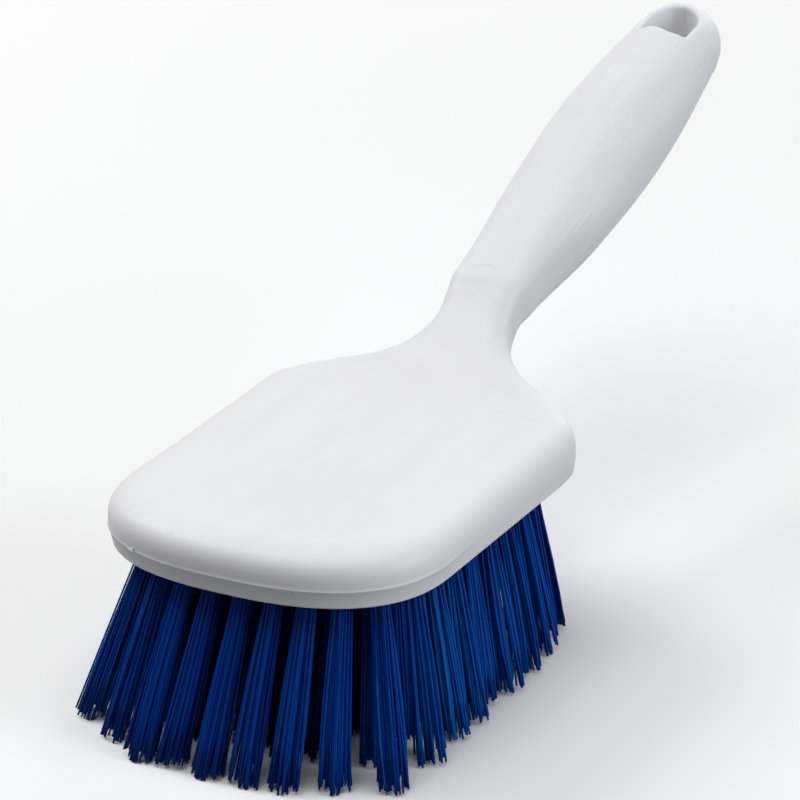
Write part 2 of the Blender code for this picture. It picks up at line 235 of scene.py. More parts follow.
body = {
    # distance from the front of the head and the value there, all in millimetres
    "halfWidth": [(31.7, 44.2), (84.0, 44.2), (91.9, 43.76), (100.2, 38.23), (105.7, 31.38),
                  (111.26, 21.2), (114.4, 16.35), (119.16, 11.71), (123.5, 9.95), (129.0, 10.1),
                  (133.8, 10.8), (138.5, 10.65), (147.75, 11.34), (164.76, 14.75), (195.0, 15.75),
                  (214.9, 14.74), (234.1, 12.6)],
    "rim": [(31.7, 4.7), (84.0, 4.7), (94.0, 4.9), (100.3, 5.25), (106.0, 6.0), (113.0, 9.68),
            (118.05, 14.45), (123.1, 19.43), (127.55, 23.41), (132.0, 24.6), (195.0, 45.0),
            (251.2, 63.1), (260.0, 65.9)],
    "halfThickness": [(123.5, 7.75), (132.0, 7.75), (147.75, 10.23), (164.76, 12.24),
                      (195.0, 14.45), (251.2, 9.9)],
    "evenReach": (1.0, 6.0), "evenBetween": (125.0, 150.0),
    # where the top is evened out along the brush, and how finely
    "topReach": 5.0, "topFrom": (72.0, 82.0), "topTo": (102.0, 110.0), "topSteps": 8,
    "crestFrom": 50.0, "crestTo": 130.0, "crestGap": 0.02,
    # thickness in the middle and at the edge of the top, which is crowned between them
    "headThickness": 14.4, "crownRise": (14.0, 58.0),
    "headTop": [(25.0, 12.95), (50.0, 13.0), (66.0, 13.35), (87.0, 13.8), (97.0, 13.95),
                (104.0, 14.0)],
    "topEdge": 7.4, "topEdgeAcross": 9.5, "topEdgeRoundness": 2.6,
    "underEdge": 0.7, "neckCorner": 4.8,
    "frontDepth": 31.7, "frontRoundness": 2.5, "headWidth": 88.4,
    "endDepth": 17.05, "endRoundness": 2.15, "endWidth": 25.2, "length": 251.15,
    "tilt": 17.5, "draft": 0.7, "bellyLift": 1.9,
    "headBack": 100.3, "neckStart": 123.5, "neckEnd": 132.0, "headSideEnd": 84.0,
    "gripRoundStart": 127.0, "gripRoundEnd": 170.0,
    # soft step up from the neck to the grip, and the fine mould line across the top behind it
    "collarStart": 126.5, "collarEnd": 130.8, "collarHeight": 1.4,
    "lineAt": 133.0, "lineBow": 0.065, "lineWidth": 0.44, "lineDepth": 0.18,
    "lineReach": (4.6, 6.0), "lineLevel": 0.7,  # only where the surface looks up this much
    "evenings": 8, "frontSteps": 32, "endSteps": 26, "arcSteps": 12, "underSteps": 6,
    "crownSteps": 24, "besideRim": (0.05, 0.6),  # shares of the way to the next point
    "arcEnds": (90.0, 75.0),  # how far the edge's arc goes round, on the head and on the grip
    "crispFrom": 38, "mergeDistance": 0.001,
    "stretches": ((31.7, 84.0, 12), (84.0, 123.5, 40), (123.5, 126.5, 5), (126.5, 131.4, 18),
                  (131.4, 133.8, 44), (133.8, 136.0, 6), (136.0, 195.0, 28), (195.0, 200.0, 3),
                  (200.0, 209.5, 30), (209.5, 234.1, 14)),
    # flash left along the parting line, on the front and the sides of the head
    "flashHeight": 0.16, "flashWobble": 0.10, "flashRightEnd": (24.0, 44.0),
    "flashLeftEnd": (70.0, 95.0), "flashWave": 0.9, "flashSlice": 3.0, "flashLift": 0.12,
    # round dish where an emblem could go
    "dishAt": 204.8, "dishWidth": 7.2, "dishDepth": 0.55, "dishRim": 0.6,
    "dishLevel": 0.5,
}


def evened(name, y):
    # the value at one place, evened out over a few millimetres so that no bend shows
    reach = mix(*body["evenReach"], ease(y, *body["evenBetween"]))
    steps = (-1.0, -0.5, 0.0, 0.5, 1.0)
    return sum(through(body[name], y + reach * step) for step in steps) / len(steps)


def roundedQuarter(width, depth, roundness, angle):
    return (width * math.sin(angle) ** (2 / roundness),
            depth * (1 - math.cos(angle) ** (2 / roundness)))


def bodyPlan():
    points = []
    for step in range(body["frontSteps"]):
        angle = math.pi / 2 * step / body["frontSteps"]
        points.append(roundedQuarter(body["headWidth"] / 2, body["frontDepth"],
                                     body["frontRoundness"], angle))
    for start, end, steps in body["stretches"]:
        for step in range(steps):
            y = mix(start, end, step / steps)
            points.append((evened("halfWidth", y), y))
    for step in range(body["endSteps"] + 1):
        angle = math.pi / 2 * (1 - step / body["endSteps"])
        x, back = roundedQuarter(body["endWidth"] / 2, body["endDepth"], body["endRoundness"], angle)
        points.append((x, body["length"] - back))
    return [Vector(point) for point in points]


def bodySection(place, inward):
    # right half of the section at one place of the plan, from the belly over the rim to the crest
    x, y = place
    lean = math.radians(body["tilt"]) * ease(y, body["headBack"], body["neckEnd"])
    along = Vector((0.0, math.cos(lean), math.sin(lean)))
    up = Vector((0.0, -math.sin(lean), math.cos(lean)))
    rimHeight = evened("rim", y)
    rim = Vector((x, y, rimHeight))
    inside = Vector((inward.x, 0.0, 0.0)) + along * inward.y

    half = evened("halfThickness", y)
    neckShare = ease(y, body["headBack"], body["neckStart"])
    headRim = body["rim"][0][1]
    collar = body["collarHeight"] * ease(y, body["collarStart"], body["collarEnd"])
    edgeTop = through(body["headTop"], y)
    above = mix(edgeTop - headRim, half, neckShare) + collar
    lift = body["bellyLift"] * (1 - ease(y, body["neckEnd"], body["gripRoundEnd"]))
    below = mix(min(rimHeight, body["headThickness"] / 2), half - lift, neckShare)

    cornerShare = ease(y, body["headSideEnd"], body["neckEnd"])
    gripShare = ease(y, body["gripRoundStart"], body["gripRoundEnd"])
    arcEnd = math.radians(mix(*body["arcEnds"], gripShare))
    wide = evened("halfWidth", y)
    topRadius = mix(body["topEdge"], body["neckCorner"], cornerShare)
    underRadius = mix(body["underEdge"], body["neckCorner"], cornerShare)
    edgeAcross = mix(body["topEdgeAcross"], body["neckCorner"], cornerShare)
    swing = 2 / mix(body["topEdgeRoundness"], 2.0, cornerShare)
    topAcross = mix(edgeAcross, wide, gripShare)
    topRise = mix(topRadius, above, gripShare)
    underAcross = mix(underRadius, wide, gripShare)
    underRise = mix(min(underRadius, below), below, gripShare)
    draft = body["draft"] * (1 - cornerShare)

    def arc(steps):
        return [arcEnd * step / steps for step in range(steps + 1)]

    under = [rim + inside * (draft + underAcross * (1 - math.cos(angle)))
             - up * (below - underRise * (1 - math.sin(angle)))
             for angle in reversed(arc(body["underSteps"]))]
    top = [rim + inside * (topAcross * (1 - max(math.cos(angle), 0.0) ** swing))
           + up * (above - topRise * (1 - math.sin(angle) ** swing))
           for angle in arc(body["arcSteps"])]
    belly = under[0] - up * underRise * (1 - math.sin(arcEnd))
    crest = top[-1] + up * topRise * (1 - math.sin(arcEnd) ** swing)
    crest.z += (body["headThickness"] - edgeTop) * ease(crest.y, *body["crownRise"])
    belly.x = 0.0
    crest.x = 0.0
    for point in [belly] + under:  # the underside is level as far as the neck
        point.z = max(point.z, 0.0)
    shares = [step / body["crownSteps"] for step in range(body["crownSteps"])]
    underRim, overRim = body["besideRim"]
    return ([crowned(belly, under[0], share) for share in shares] + under
            + [rim.lerp(under[-1], underRim), rim, rim.lerp(top[0], overRim)] + top
            + [crowned(crest, top[-1], 1 - step / body["crownSteps"])
               for step in range(1, body["crownSteps"])] + [crest])


def crowned(middle, edge, share):
    # between the crest and the edge of the arc, on a curve that is level in the middle
    point = middle.lerp(edge, share)
    level = share * share
    point.y = mix(middle.y, edge.y, level)
    point.z = mix(middle.z, edge.z, level)
    return point


def evenTop(lines):
    # where the top starts to rise towards the neck, its height is evened out along the brush
    crest = [(body["crestFrom"], body["headThickness"])]
    for line in lines:
        if crest[-1][0] + body["crestGap"] < line[-1].co.y < body["crestTo"]:
            crest.append((line[-1].co.y, line[-1].co.z))
    half = body["topSteps"]
    steps = [number / half for number in range(-half, half + 1)]
    for line in lines:
        rim, top = line[rimPlace].co.z, line[-1].co.copy()
        share = ease(top.y, *body["topFrom"]) * (1 - ease(top.y, *body["topTo"]))
        even = sum(through(crest, top.y + body["topReach"] * step) for step in steps) / len(steps)
        for vert in line[rimPlace + 1:]:
            vert.co.z += share * (even - top.z) * (vert.co.z - rim) / (top.z - rim)


def loft(bm, sections):
    # the first section's line is extruded once for each further section and moved to it
    line = [bm.verts.new(point) for point in sections[0]]
    lines = [line]
    edges = [bm.edges.new(pair) for pair in zip(line, line[1:])]
    for section in sections[1:]:
        grown = bmesh.ops.extrude_edge_only(bm, edges=edges)["geom"]
        made = {item for item in grown if isinstance(item, bmesh.types.BMVert)}
        line = [next(edge.other_vert(vert) for edge in vert.link_edges
                     if edge.other_vert(vert) in made) for vert in line]
        lines.append(line)
        for vert, point in zip(line, section):
            vert.co = point
        edges = [bm.edges.get(pair) for pair in zip(line, line[1:])]
    return lines


def carve(piece, cutterShape):
    # cuts a shape out of a finished piece and keeps the result as its mesh
    cutter = newPiece(piece.name + "Cutter", cutterShape, None)
    modifier = piece.modifiers.new("carve", 'BOOLEAN')
    modifier.operation = 'DIFFERENCE'
    modifier.solver = 'EXACT'
    modifier.object = cutter
    evaluated = piece.evaluated_get(bpy.context.evaluated_depsgraph_get())
    carved = bpy.data.meshes.new_from_object(evaluated)
    piece.modifiers.remove(modifier)
    piece.data = carved
    bpy.data.objects.remove(cutter, do_unlink=True)


def keepCorners(piece, degrees):
    # edges that turn more than this stay crisp, the rest are shaded smooth
    bm = bmesh.new()
    bm.from_mesh(piece.data)
    for face in bm.faces:
        face.smooth = True
    for edge in bm.edges:
        inside = len(edge.link_faces) == 2
        edge.smooth = inside and edge.calc_face_angle(0.0) < math.radians(degrees)
    bm.to_mesh(piece.data)
    bm.free()


plan = bodyPlan()
inwards = [Vector((0.0, 1.0))]
for before, after in zip(plan, plan[2:]):
    run = after - before
    inwards.append(Vector((-run.y, run.x)).normalized())
inwards.append(Vector((0.0, -1.0)))
for evening in range(body["evenings"]):  # neighbouring sections fan out evenly
    inwards[1:-1] = [(a + 2 * b + c).normalized()
                     for a, b, c in zip(inwards, inwards[1:], inwards[2:])]

bm = bmesh.new()
flash = bm.verts.layers.int.new("flash")
station = bm.verts.layers.float.new("station")
rimPlace = body["crownSteps"] + body["underSteps"] + 2
lines = loft(bm, [bodySection(place, inward) for place, inward in zip(plan, inwards)])
evenTop(lines)
for line, place in zip(lines, plan):
    line[rimPlace][flash] = 1
    for vert in line:
        vert[station] = place.y
bmesh.ops.mirror(bm, geom=bm.verts[:] + bm.edges[:] + bm.faces[:], axis='X',
                 merge_dist=body["mergeDistance"])
bmesh.ops.remove_doubles(bm, verts=bm.verts, dist=body["mergeDistance"])
bmesh.ops.dissolve_degenerate(bm, edges=bm.edges, dist=body["mergeDistance"])
bmesh.ops.recalc_face_normals(bm, faces=bm.faces)
bm.normal_update()
for vert in bm.verts:
    x, y, z = vert.co
    if vert[flash]:
        ends = body["flashRightEnd"] if x > 0 else body["flashLeftEnd"]
        fade = 1 - ease(y, *ends)
        wave = body["flashWave"]
        wobble = noise.noise(Vector((x * wave, y * wave, body["flashSlice"])))
        vert.co += vert.normal * fade * (body["flashHeight"] + body["flashWobble"] * wobble)
        vert.co.z += fade * body["flashLift"] * wobble
    if vert.normal.z > body["lineLevel"]:
        lineAt = body["lineAt"] - body["lineBow"] * x * x
        groove = 1 - min(abs(vert[station] - lineAt) / (body["lineWidth"] / 2), 1.0)
        vert.co -= vert.normal * body["lineDepth"] * groove * (1 - ease(abs(x), *body["lineReach"]))
    off = math.hypot(x, y - body["dishAt"])
    if vert.normal.z > body["dishLevel"] and off < body["dishWidth"] / 2:
        sink = 1 - ease(off, body["dishWidth"] / 2 - body["dishRim"], body["dishWidth"] / 2)
        vert.co -= vert.normal * body["dishDepth"] * sink
bodyTree = BVHTree.FromBMesh(bm)
print("body lofted")


# hang hole, straight down through the end of the grip

hole = {
    "middle": 0.8, "halfWidth": 6.8, "nearEdge": 225.4, "nearDepth": 3.4, "nearRoundness": 2.6,
    "farEdge": 242.2, "farDepth": 8.7, "farRoundness": 2.1, "nearSteps": 12, "farSteps": 22,
    "nearRim": 0.3, "farRim": 2.0, "rimSteps": 6,  # how far the rims are rounded
    "softLeft": (1.5, 5.5), "softRight": (6.4, 8.2),  # the near rim is sharp only between these
    "creaseWidth": 0.3, "creaseDepth": 0.25,  # line down the middle of the far wall
    "softBand": 2.0,  # from the middle of the hole to where the far rim's rounding is full
    "lift": 0.03, "clear": 8.0, "spread": 0.8,  # how the cutter leaves the body
    "castFrom": 150.0, "mergeDistance": 0.0001,
}


def holeOutline():
    # once round, from the middle of the far wall along the right side
    half = hole["halfWidth"]
    angles = [math.pi / 2 * step / hole["farSteps"] for step in range(hole["farSteps"])]
    angles.append(math.asin((hole["creaseWidth"] / half) ** (hole["farRoundness"] / 2)))
    right = []
    for angle in sorted(angles):
        x, back = roundedQuarter(half, hole["farDepth"], hole["farRoundness"], angle)
        right.append(Vector((x, hole["farEdge"] - back, 0.0)))
    for step in range(hole["nearSteps"] + 1):
        angle = math.pi / 2 * (1 - step / hole["nearSteps"])
        x, back = roundedQuarter(half, hole["nearDepth"], hole["nearRoundness"], angle)
        right.append(Vector((x, hole["nearEdge"] + back, 0.0)))
    left = [Vector((-point.x, point.y, 0.0)) for point in reversed(right[1:-1])]
    return [point + Vector((hole["middle"], 0.0, 0.0)) for point in right + left]


def holeCutter():
    # an upright column for each point of the outline, flared where it leaves the body
    outline = holeOutline()
    far = max(point.y for point in outline)
    nearEdge = min(point.y for point in outline)
    centre = Vector((hole["middle"], (far + nearEdge) / 2, 0.0))
    columns = []
    for number, point in enumerate(outline):
        before, after = outline[number - 1], outline[(number + 1) % len(outline)]
        outward = Vector(((after - before).y, -(after - before).x, 0.0)).normalized()
        if outward.dot(point - centre) < 0:
            outward.negate()
        soft = max(ease(-point.x, *hole["softLeft"]), ease(point.x, *hole["softRight"]),
                   ease(point.y, centre.y - hole["softBand"], centre.y + hole["softBand"]))
        rim = mix(hole["nearRim"], hole["farRim"], soft)
        sink = max(0.0, 1 - abs(point.x - hole["middle"]) / hole["creaseWidth"])
        crease = outward * hole["creaseDepth"] * sink if point.y > centre.y else Vector()
        halves = []
        for way in (-1.0, 1.0):
            aim = Vector((0.0, 0.0, -way))
            away = aim * hole["castFrom"]
            corner = bodyTree.ray_cast(point - away, aim)[0] + crease
            edge = bodyTree.ray_cast(point + outward * rim - away, aim)[0] - aim * hole["lift"]
            deep = corner + aim * rim
            curve = []
            for step in range(hole["rimSteps"] + 1):
                share = step / hole["rimSteps"]
                curve.append(deep.lerp(corner, share).lerp(corner.lerp(edge, share), share))
            curve.append(edge + outward * hole["spread"] - aim * hole["clear"])
            halves.append(curve)
        columns.append(list(reversed(halves[0])) + halves[1])
    bm = bmesh.new()
    loft(bm, columns + [columns[0]])
    bmesh.ops.remove_doubles(bm, verts=bm.verts, dist=hole["mergeDistance"])
    bmesh.ops.holes_fill(bm, edges=[edge for edge in bm.edges if edge.is_boundary], sides=0)
    bmesh.ops.recalc_face_normals(bm, faces=bm.faces)
    return bm


# bristle tufts, each with a metal anchor in a blind hole of its own

bristles = {
    "seed": 7, "rows": 9, "tuftsPerRow": 9, "filamentsPerTuft": 64,
    "filament": 0.52, "sides": 5, "bends": 4,  # thickness in millimetres
    "clumps": 7, "gather": 0.45, "clumpShort": 1.3,  # filaments that cling to one another
    "holeWidth": 4.7, "holeDepth": 8.0, "holeSides": 20, "rootDepth": 7.0,
    "cutterProud": 1.0,  # how far the hole's cutter stands out of the underside
    "rootWidth": 4.0, "tipWidth": 8.6, "tuftWander": 0.9, "wander": 0.3, "curl": 0.6,
    # stray filaments get a fixed bright tone: a painted highlight
    "strayShare": 0.012, "strayWander": 1.8, "strayPaintedHighlight": 0.9,
    "shortest": 2.2, "shortPower": 2.2,  # how far the shortest tips stay above the longest
    "toneShares": (0.45, 0.35, 0.20),  # of the tuft, the clump and the filament
    "toneFloor": 0.25,
    # painted light and shade by where a tuft stands: darker inside the head of bristles and at the
    # front of the left flank, lighter at the front-left corner and on the right flank; lift and
    # share of a tuft's own tone
    "paintedLightAndShade": {"corner": (0.6, 0.4), "front": (0.05, 0.85), "back": (0.1, 0.8),
               "right": (0.7, 0.3), "besideRight": (0.6, 0.35),
               "left": (0.1, 0.8), "frontLeft": (0.0, 0.55), "inner": (0.0, 0.22)},
    "firstRow": 8.8, "lastRow": 84.5, "reach": 34.0, "rootShift": 1.6, "bow": 10.0, "bowPower": 3,
    "frontInset": 3.0, "backInset": 1.0,
    "frontFlare": 15.6, "backFlare": 10.8, "frontSideFlare": 12.6, "backSideFlare": 5.0,
    "sideFlareShares": (0.5, 1.0), "shadedRows": 3,
    "sweep": -3.9, "edgeSoftness": 4.0, "edgeGap": 0.4,  # how the tips keep inside the CAD's box
    "lineSteps": 60, "packingTurn": 137.508,
    "anchor": (4.3, 0.4, 1.8),  # width, thickness and height of the staple of flat wire
    "anchorRise": 0.2, "anchorBevel": 0.08,
}
trim = underside / mm
boxLeft, boxRight = cadLow.x / mm, cadHigh.x / mm
boxFront = (cadLow.y - headFront) / mm


def rowPoint(row, x):
    share = row / (bristles["rows"] - 1)
    bow = bristles["bow"] * (1 - share) * (abs(x) / bristles["reach"]) ** bristles["bowPower"]
    return Vector((x + bristles["rootShift"],
                   mix(bristles["firstRow"], bristles["lastRow"], share) + bow, 0.0))


def tuftRoots(row):
    # evenly spaced along the row's bowed line
    half = bristles["reach"]
    if row == 0:
        half -= bristles["frontInset"]
    if row == bristles["rows"] - 1:
        half -= bristles["backInset"]
    steps = bristles["lineSteps"]
    line = [rowPoint(row, mix(-half, half, step / steps)) for step in range(steps + 1)]
    lengths = [0.0]
    for start, end in zip(line, line[1:]):
        lengths.append(lengths[-1] + (end - start).length)
    roots = []
    for tuft in range(bristles["tuftsPerRow"]):
        wanted = lengths[-1] * tuft / (bristles["tuftsPerRow"] - 1)
        step = max(i for i in range(steps) if lengths[i] <= wanted)
        share = (wanted - lengths[step]) / (lengths[step + 1] - lengths[step])
        roots.append(line[step].lerp(line[step + 1], share))
    return roots


def softLimit(value, limit, softness):
    # holds a value under its limit and bends it gently before it gets there
    start = limit - softness
    if value <= start:
        return value
    return start + softness * (1 - math.exp((start - value) / softness))


def tuftTip(root):
    # middle of the tuft's tips: the tufts lean out on all sides, and all of them a little left
    middle = mix(bristles["firstRow"], bristles["lastRow"], 0.5)
    sideways = (root.x - bristles["rootShift"]) / bristles["reach"]
    backwards = (root.y - middle) / (bristles["lastRow"] - middle)
    side = mix(bristles["frontSideFlare"], bristles["backSideFlare"],
               mix(*bristles["sideFlareShares"], backwards))
    flare = bristles["backFlare"] if backwards > 0 else bristles["frontFlare"]
    return Vector((root.x + side * sideways * abs(sideways) + bristles["sweep"],
                   root.y + flare * backwards * abs(backwards), -trim))


def tuftLean(root):
    return (tuftTip(root) - root) / trim


def tuftHoles():
    bm = bmesh.new()
    radius, proud = bristles["holeWidth"] / 2, bristles["cutterProud"]
    for row in range(bristles["rows"]):
        for root in tuftRoots(row):
            lean = tuftLean(root)
            middle = root - lean * (bristles["holeDepth"] - proud) / 2
            turn = lean.to_track_quat('Z', 'Y').to_matrix().to_4x4()
            bmesh.ops.create_cone(bm, cap_ends=True, segments=bristles["holeSides"],
                                  radius1=radius, radius2=radius,
                                  depth=(bristles["holeDepth"] + proud) * lean.length,
                                  matrix=Matrix.Translation(middle) @ turn)
    return bm


def diskSpot(number, count, turn):
    # evenly packed places in a round hole one unit in radius
    angle = turn + number * math.radians(bristles["packingTurn"])
    return Vector((math.cos(angle), math.sin(angle), 0.0)) * math.sqrt((number + 0.5) / count)


def scatter(chance, amount):
    return Vector((chance.gauss(0.0, amount), chance.gauss(0.0, amount), 0.0))


# where a tuft stands, which sets its painted light and shade
def standing(row, tuft):
    last = bristles["tuftsPerRow"] - 1
    if row == 0:
        return "corner" if tuft == 0 else "front"
    if row == bristles["rows"] - 1:
        return "back"
    if tuft == 0:
        return "frontLeft" if row < bristles["shadedRows"] else "left"
    return {last: "right", last - 1: "besideRight"}.get(tuft, "inner")


def filamentEnds(root, chance, place):
    # root, tip, bend and tone of every filament of one tuft, gathered into a few clumps; the tone
    # holds painted light and shade by where the tuft stands
    lean = tuftLean(root)
    tip = tuftTip(root) + scatter(chance, bristles["tuftWander"])
    turn = chance.uniform(0.0, 2 * math.pi)
    tuftTone = chance.uniform(bristles["toneFloor"], 1.0)
    # painted light and shade: lift and share of the tone by where the tuft stands
    lift, gain = bristles["paintedLightAndShade"][place]
    gap, softness = bristles["edgeGap"], bristles["edgeSoftness"]
    clumps = [(diskSpot(number, bristles["clumps"], turn), chance.random(),
               bristles["clumpShort"] * chance.random()) for number in range(bristles["clumps"])]
    ends = []
    for number in range(bristles["filamentsPerTuft"]):
        spot = diskSpot(number, bristles["filamentsPerTuft"], turn)
        middle, clumpTone, short = min(clumps, key=lambda clump: (clump[0] - spot).length)
        start = root + spot * bristles["rootWidth"] / 2 - lean * bristles["rootDepth"]
        stray = chance.random() < bristles["strayShare"]
        end = tip + spot.lerp(middle, bristles["gather"]) * bristles["tipWidth"] / 2
        end += scatter(chance, bristles["strayWander"] if stray else bristles["wander"])
        end.z += short + bristles["shortest"] * chance.random() ** bristles["shortPower"]
        end.x = -softLimit(-end.x, -boxLeft - gap, softness)
        end.x = softLimit(end.x, boxRight - gap, softness)
        end.y = -softLimit(-end.y, -boxFront - gap, softness)
        tones = (tuftTone, clumpTone, chance.random())
        toneAndPaintedLight = lift + gain * sum(part * share for part, share in zip(tones, bristles["toneShares"]))
        ends.append((start, end, scatter(chance, bristles["curl"]),
                     bristles["strayPaintedHighlight"] if stray else toneAndPaintedLight))
    return ends


def straightFilament():
    # one unit long and one unit thick, pointing along z, with rings for the bends
    bm = bmesh.new()
    bmesh.ops.create_cone(bm, cap_ends=True, segments=bristles["sides"],
                          radius1=0.5, radius2=0.5, depth=1.0)
    bmesh.ops.translate(bm, vec=(0.0, 0.0, 0.5), verts=bm.verts)
    upright = [edge for edge in bm.edges if abs(edge.verts[0].co.z - edge.verts[1].co.z) > 0.5]
    bmesh.ops.subdivide_edges(bm, edges=upright, cuts=bristles["bends"], use_grid_fill=True)
    mesh = bpy.data.meshes.new("straightFilament")
    bm.to_mesh(mesh)
    bm.free()
    return mesh


def tuftRow(row, filament, chance):
    bm = bmesh.new()
    ends = []
    for tuft, root in enumerate(tuftRoots(row)):
        ends += filamentEnds(root, chance, standing(row, tuft))
    for _ in ends:
        bm.from_mesh(filament)
    toneAndPaintedLight = bm.verts.layers.float.new("toneAndPaintedLight")
    points = len(filament.vertices)
    for number, vert in enumerate(bm.verts):
        start, end, curl, shade = ends[number // points]
        share = vert.co.z
        across = Vector((vert.co.x, vert.co.y, 0.0)) * bristles["filament"]
        bend = curl * share * share * (1 - share) * 4  # most at two thirds of the way down
        vert.co = (start.lerp(end, share) + bend + across) * mm
        vert[toneAndPaintedLight] = shade
    bmesh.ops.recalc_face_normals(bm, faces=bm.faces)
    bmesh.ops.translate(bm, vec=(0.0, headFront, underside), verts=bm.verts)
    return bm


def tuftAnchors():
    bm = bmesh.new()
    sink = bristles["rootDepth"] - bristles["anchorRise"]
    for row in range(bristles["rows"]):
        for root in tuftRoots(row):
            lean = tuftLean(root)
            made = bmesh.ops.create_cube(bm, size=1.0)["verts"]
            bmesh.ops.scale(bm, vec=bristles["anchor"], verts=made)
            turn = lean.to_track_quat('Z', 'Y').to_matrix()
            bmesh.ops.rotate(bm, verts=made, cent=(0.0, 0.0, 0.0), matrix=turn)
            bmesh.ops.translate(bm, verts=made, vec=root - lean * sink)
    bmesh.ops.bevel(bm, geom=bm.edges[:], offset=bristles["anchorBevel"], offset_type='OFFSET',
                    affect='EDGES', segments=1, profile=0.5, material=-1)
    bmesh.ops.scale(bm, vec=(mm, mm, mm), verts=bm.verts)
    bmesh.ops.translate(bm, vec=(0.0, headFront, underside), verts=bm.verts)
    return bm


# polypropylene, injection moulded against a satin steel face: white and a little see-through at
# the skin, so the light softens over the edges; a broad weak sheen; faint flow marks along the
# body, cutter lines from the mould down the side of the grip, and a few specks of burnt resin;
# the left end of the head is painted warmer and a little darker, as painted warm light
plasticLook = {
    "white": "#E8E8EA", "flow": "#E5E5E7", "paintedWarmLight": "#E6E2D8", "speck": "#8C8880",
    "roughness": (0.42, 0.54), "see": 0.12, "seeDepth": 0.0012,
    "flowSize": 9 * mm, "flowStretch": 0.18, "flowFrom": 0.45, "flowTo": 0.75,
    "grainSize": 0.7 * mm, "grainDepth": 0.012 * mm,
    # the cutter lines are drawn coarser and deeper than real ones, so that they show
    "lineSpacing": 1.0 * mm, "lineDepth": 0.22 * mm, "lineFrom": 3.5 * mm, "lineTo": 8.0 * mm,
    "lineStretch": 0.02,
    "gripFrom": 140 * mm, "gripTo": 155 * mm,
    "ior": 1.49, "speckCore": 0.5,
    "speckSize": 0.17,  # and where they are, from the front of the head and from the underside
    "specks": ((-14.1, 3.6, 11.6), (-16.5, 2.9, 10.3), (-20.4, 3.2, 9.4), (21.4, 4.5, 10.9),
               (18.7, 1.7, 4.0), (-1.1, 159.6, 47.3), (3.3, 162.9, 48.5), (5.3, 187.6, 58.2)),
    # where the painted warm light on the left end of the head starts and is full
    "warmLightFrom": -36 * mm, "warmLightTo": -45 * mm,
}

plastic, tree, shader = newMaterial("mouldedPolypropylene")
look = plasticLook
place = addNode(tree, "ShaderNodeTexCoord").outputs["Object"]
apart = addNode(tree, "ShaderNodeSeparateXYZ", {}, {0: place})
stretched = addNode(tree, "ShaderNodeMapping", {"Scale": (1.0, look["flowStretch"], 1.0)},
                    {"Vector": place})
flowNoise = addNode(tree, "ShaderNodeTexNoise", {"Scale": 1 / look["flowSize"], "Detail": 4.0},
                    {"Vector": stretched.outputs[0]})
flowing = addNode(tree, "ShaderNodeMapRange", {1: look["flowFrom"], 2: look["flowTo"]},
                  {0: flowNoise.outputs["Fac"]})
flow = addNode(tree, "ShaderNodeMix", {"data_type": 'RGBA', 6: linear(look["white"]),
                                       7: linear(look["flow"])}, {0: flowing.outputs[0]})
# painted warm light: the left end of the head is tinted warmer and a little darker
warmLitEnd = addNode(tree, "ShaderNodeMapRange", {1: look["warmLightFrom"], 2: look["warmLightTo"]},
                    {0: apart.outputs[0]})
paintedWarmth = addNode(tree, "ShaderNodeMix", {"data_type": 'RGBA', 7: linear(look["paintedWarmLight"])},
                 {0: warmLitEnd.outputs[0], 6: flow.outputs[2]})
nearest = None
for spot in look["specks"]:
    centre = Vector(spot) * mm + Vector((0.0, headFront, underside))
    away = addNode(tree, "ShaderNodeVectorMath", {"operation": 'DISTANCE', 1: centre},
                   {0: place}).outputs["Value"]
    if nearest:
        away = addNode(tree, "ShaderNodeMath", {"operation": 'MINIMUM'},
                       {0: away, 1: nearest}).outputs[0]
    nearest = away
speck = addNode(tree, "ShaderNodeMapRange", {1: look["speckSize"] * mm,
                                             2: look["speckCore"] * look["speckSize"] * mm},
                {0: nearest})
painted = addNode(tree, "ShaderNodeMix", {"data_type": 'RGBA', 7: linear(look["speck"])},
                  {0: speck.outputs[0], 6: paintedWarmth.outputs[2]})
tree.links.new(painted.outputs[2], shader.inputs["Base Color"])
satin = addNode(tree, "ShaderNodeMapRange", {3: look["roughness"][0], 4: look["roughness"][1]},
                {0: flowNoise.outputs["Fac"]})
tree.links.new(satin.outputs[0], shader.inputs["Roughness"])
shader.inputs["IOR"].default_value = look["ior"]
shader.inputs["Subsurface Weight"].default_value = look["see"]
shader.inputs["Subsurface Radius"].default_value = (1.0, 1.0, 1.0)
shader.inputs["Subsurface Scale"].default_value = look["seeDepth"]

grain = addNode(tree, "ShaderNodeTexNoise", {"Scale": 1 / look["grainSize"], "Detail": 3.0},
                {"Vector": place})
grained = addNode(tree, "ShaderNodeBump", {"Strength": 1.0, "Distance": look["grainDepth"]},
                  {"Height": grain.outputs["Fac"]})
level = addNode(tree, "ShaderNodeVectorRotate", {"rotation_type": 'X_AXIS',
                                                 "Angle": -math.radians(body["tilt"])},
                {"Vector": place})
lengthways = addNode(tree, "ShaderNodeMapping", {"Scale": (1.0, look["lineStretch"], 1.0)},
                     {"Vector": level.outputs[0]})
cutterLines = addNode(tree, "ShaderNodeTexNoise", {"Scale": 1 / look["lineSpacing"], "Detail": 1.0},
                      {"Vector": lengthways.outputs[0]})
onSide = addNode(tree, "ShaderNodeMapRange", {1: look["lineFrom"], 2: look["lineTo"]},
                 {0: apart.outputs[0]})
onGrip = addNode(tree, "ShaderNodeMapRange", {1: headFront + look["gripFrom"],
                                              2: headFront + look["gripTo"]}, {0: apart.outputs[1]})
there = addNode(tree, "ShaderNodeMath", {"operation": 'MULTIPLY'},
                {0: onSide.outputs[0], 1: onGrip.outputs[0]})
lined = addNode(tree, "ShaderNodeBump", {"Distance": look["lineDepth"]},
                {"Strength": there.outputs[0], "Height": cutterLines.outputs["Fac"],
                 "Normal": grained.outputs[0]})
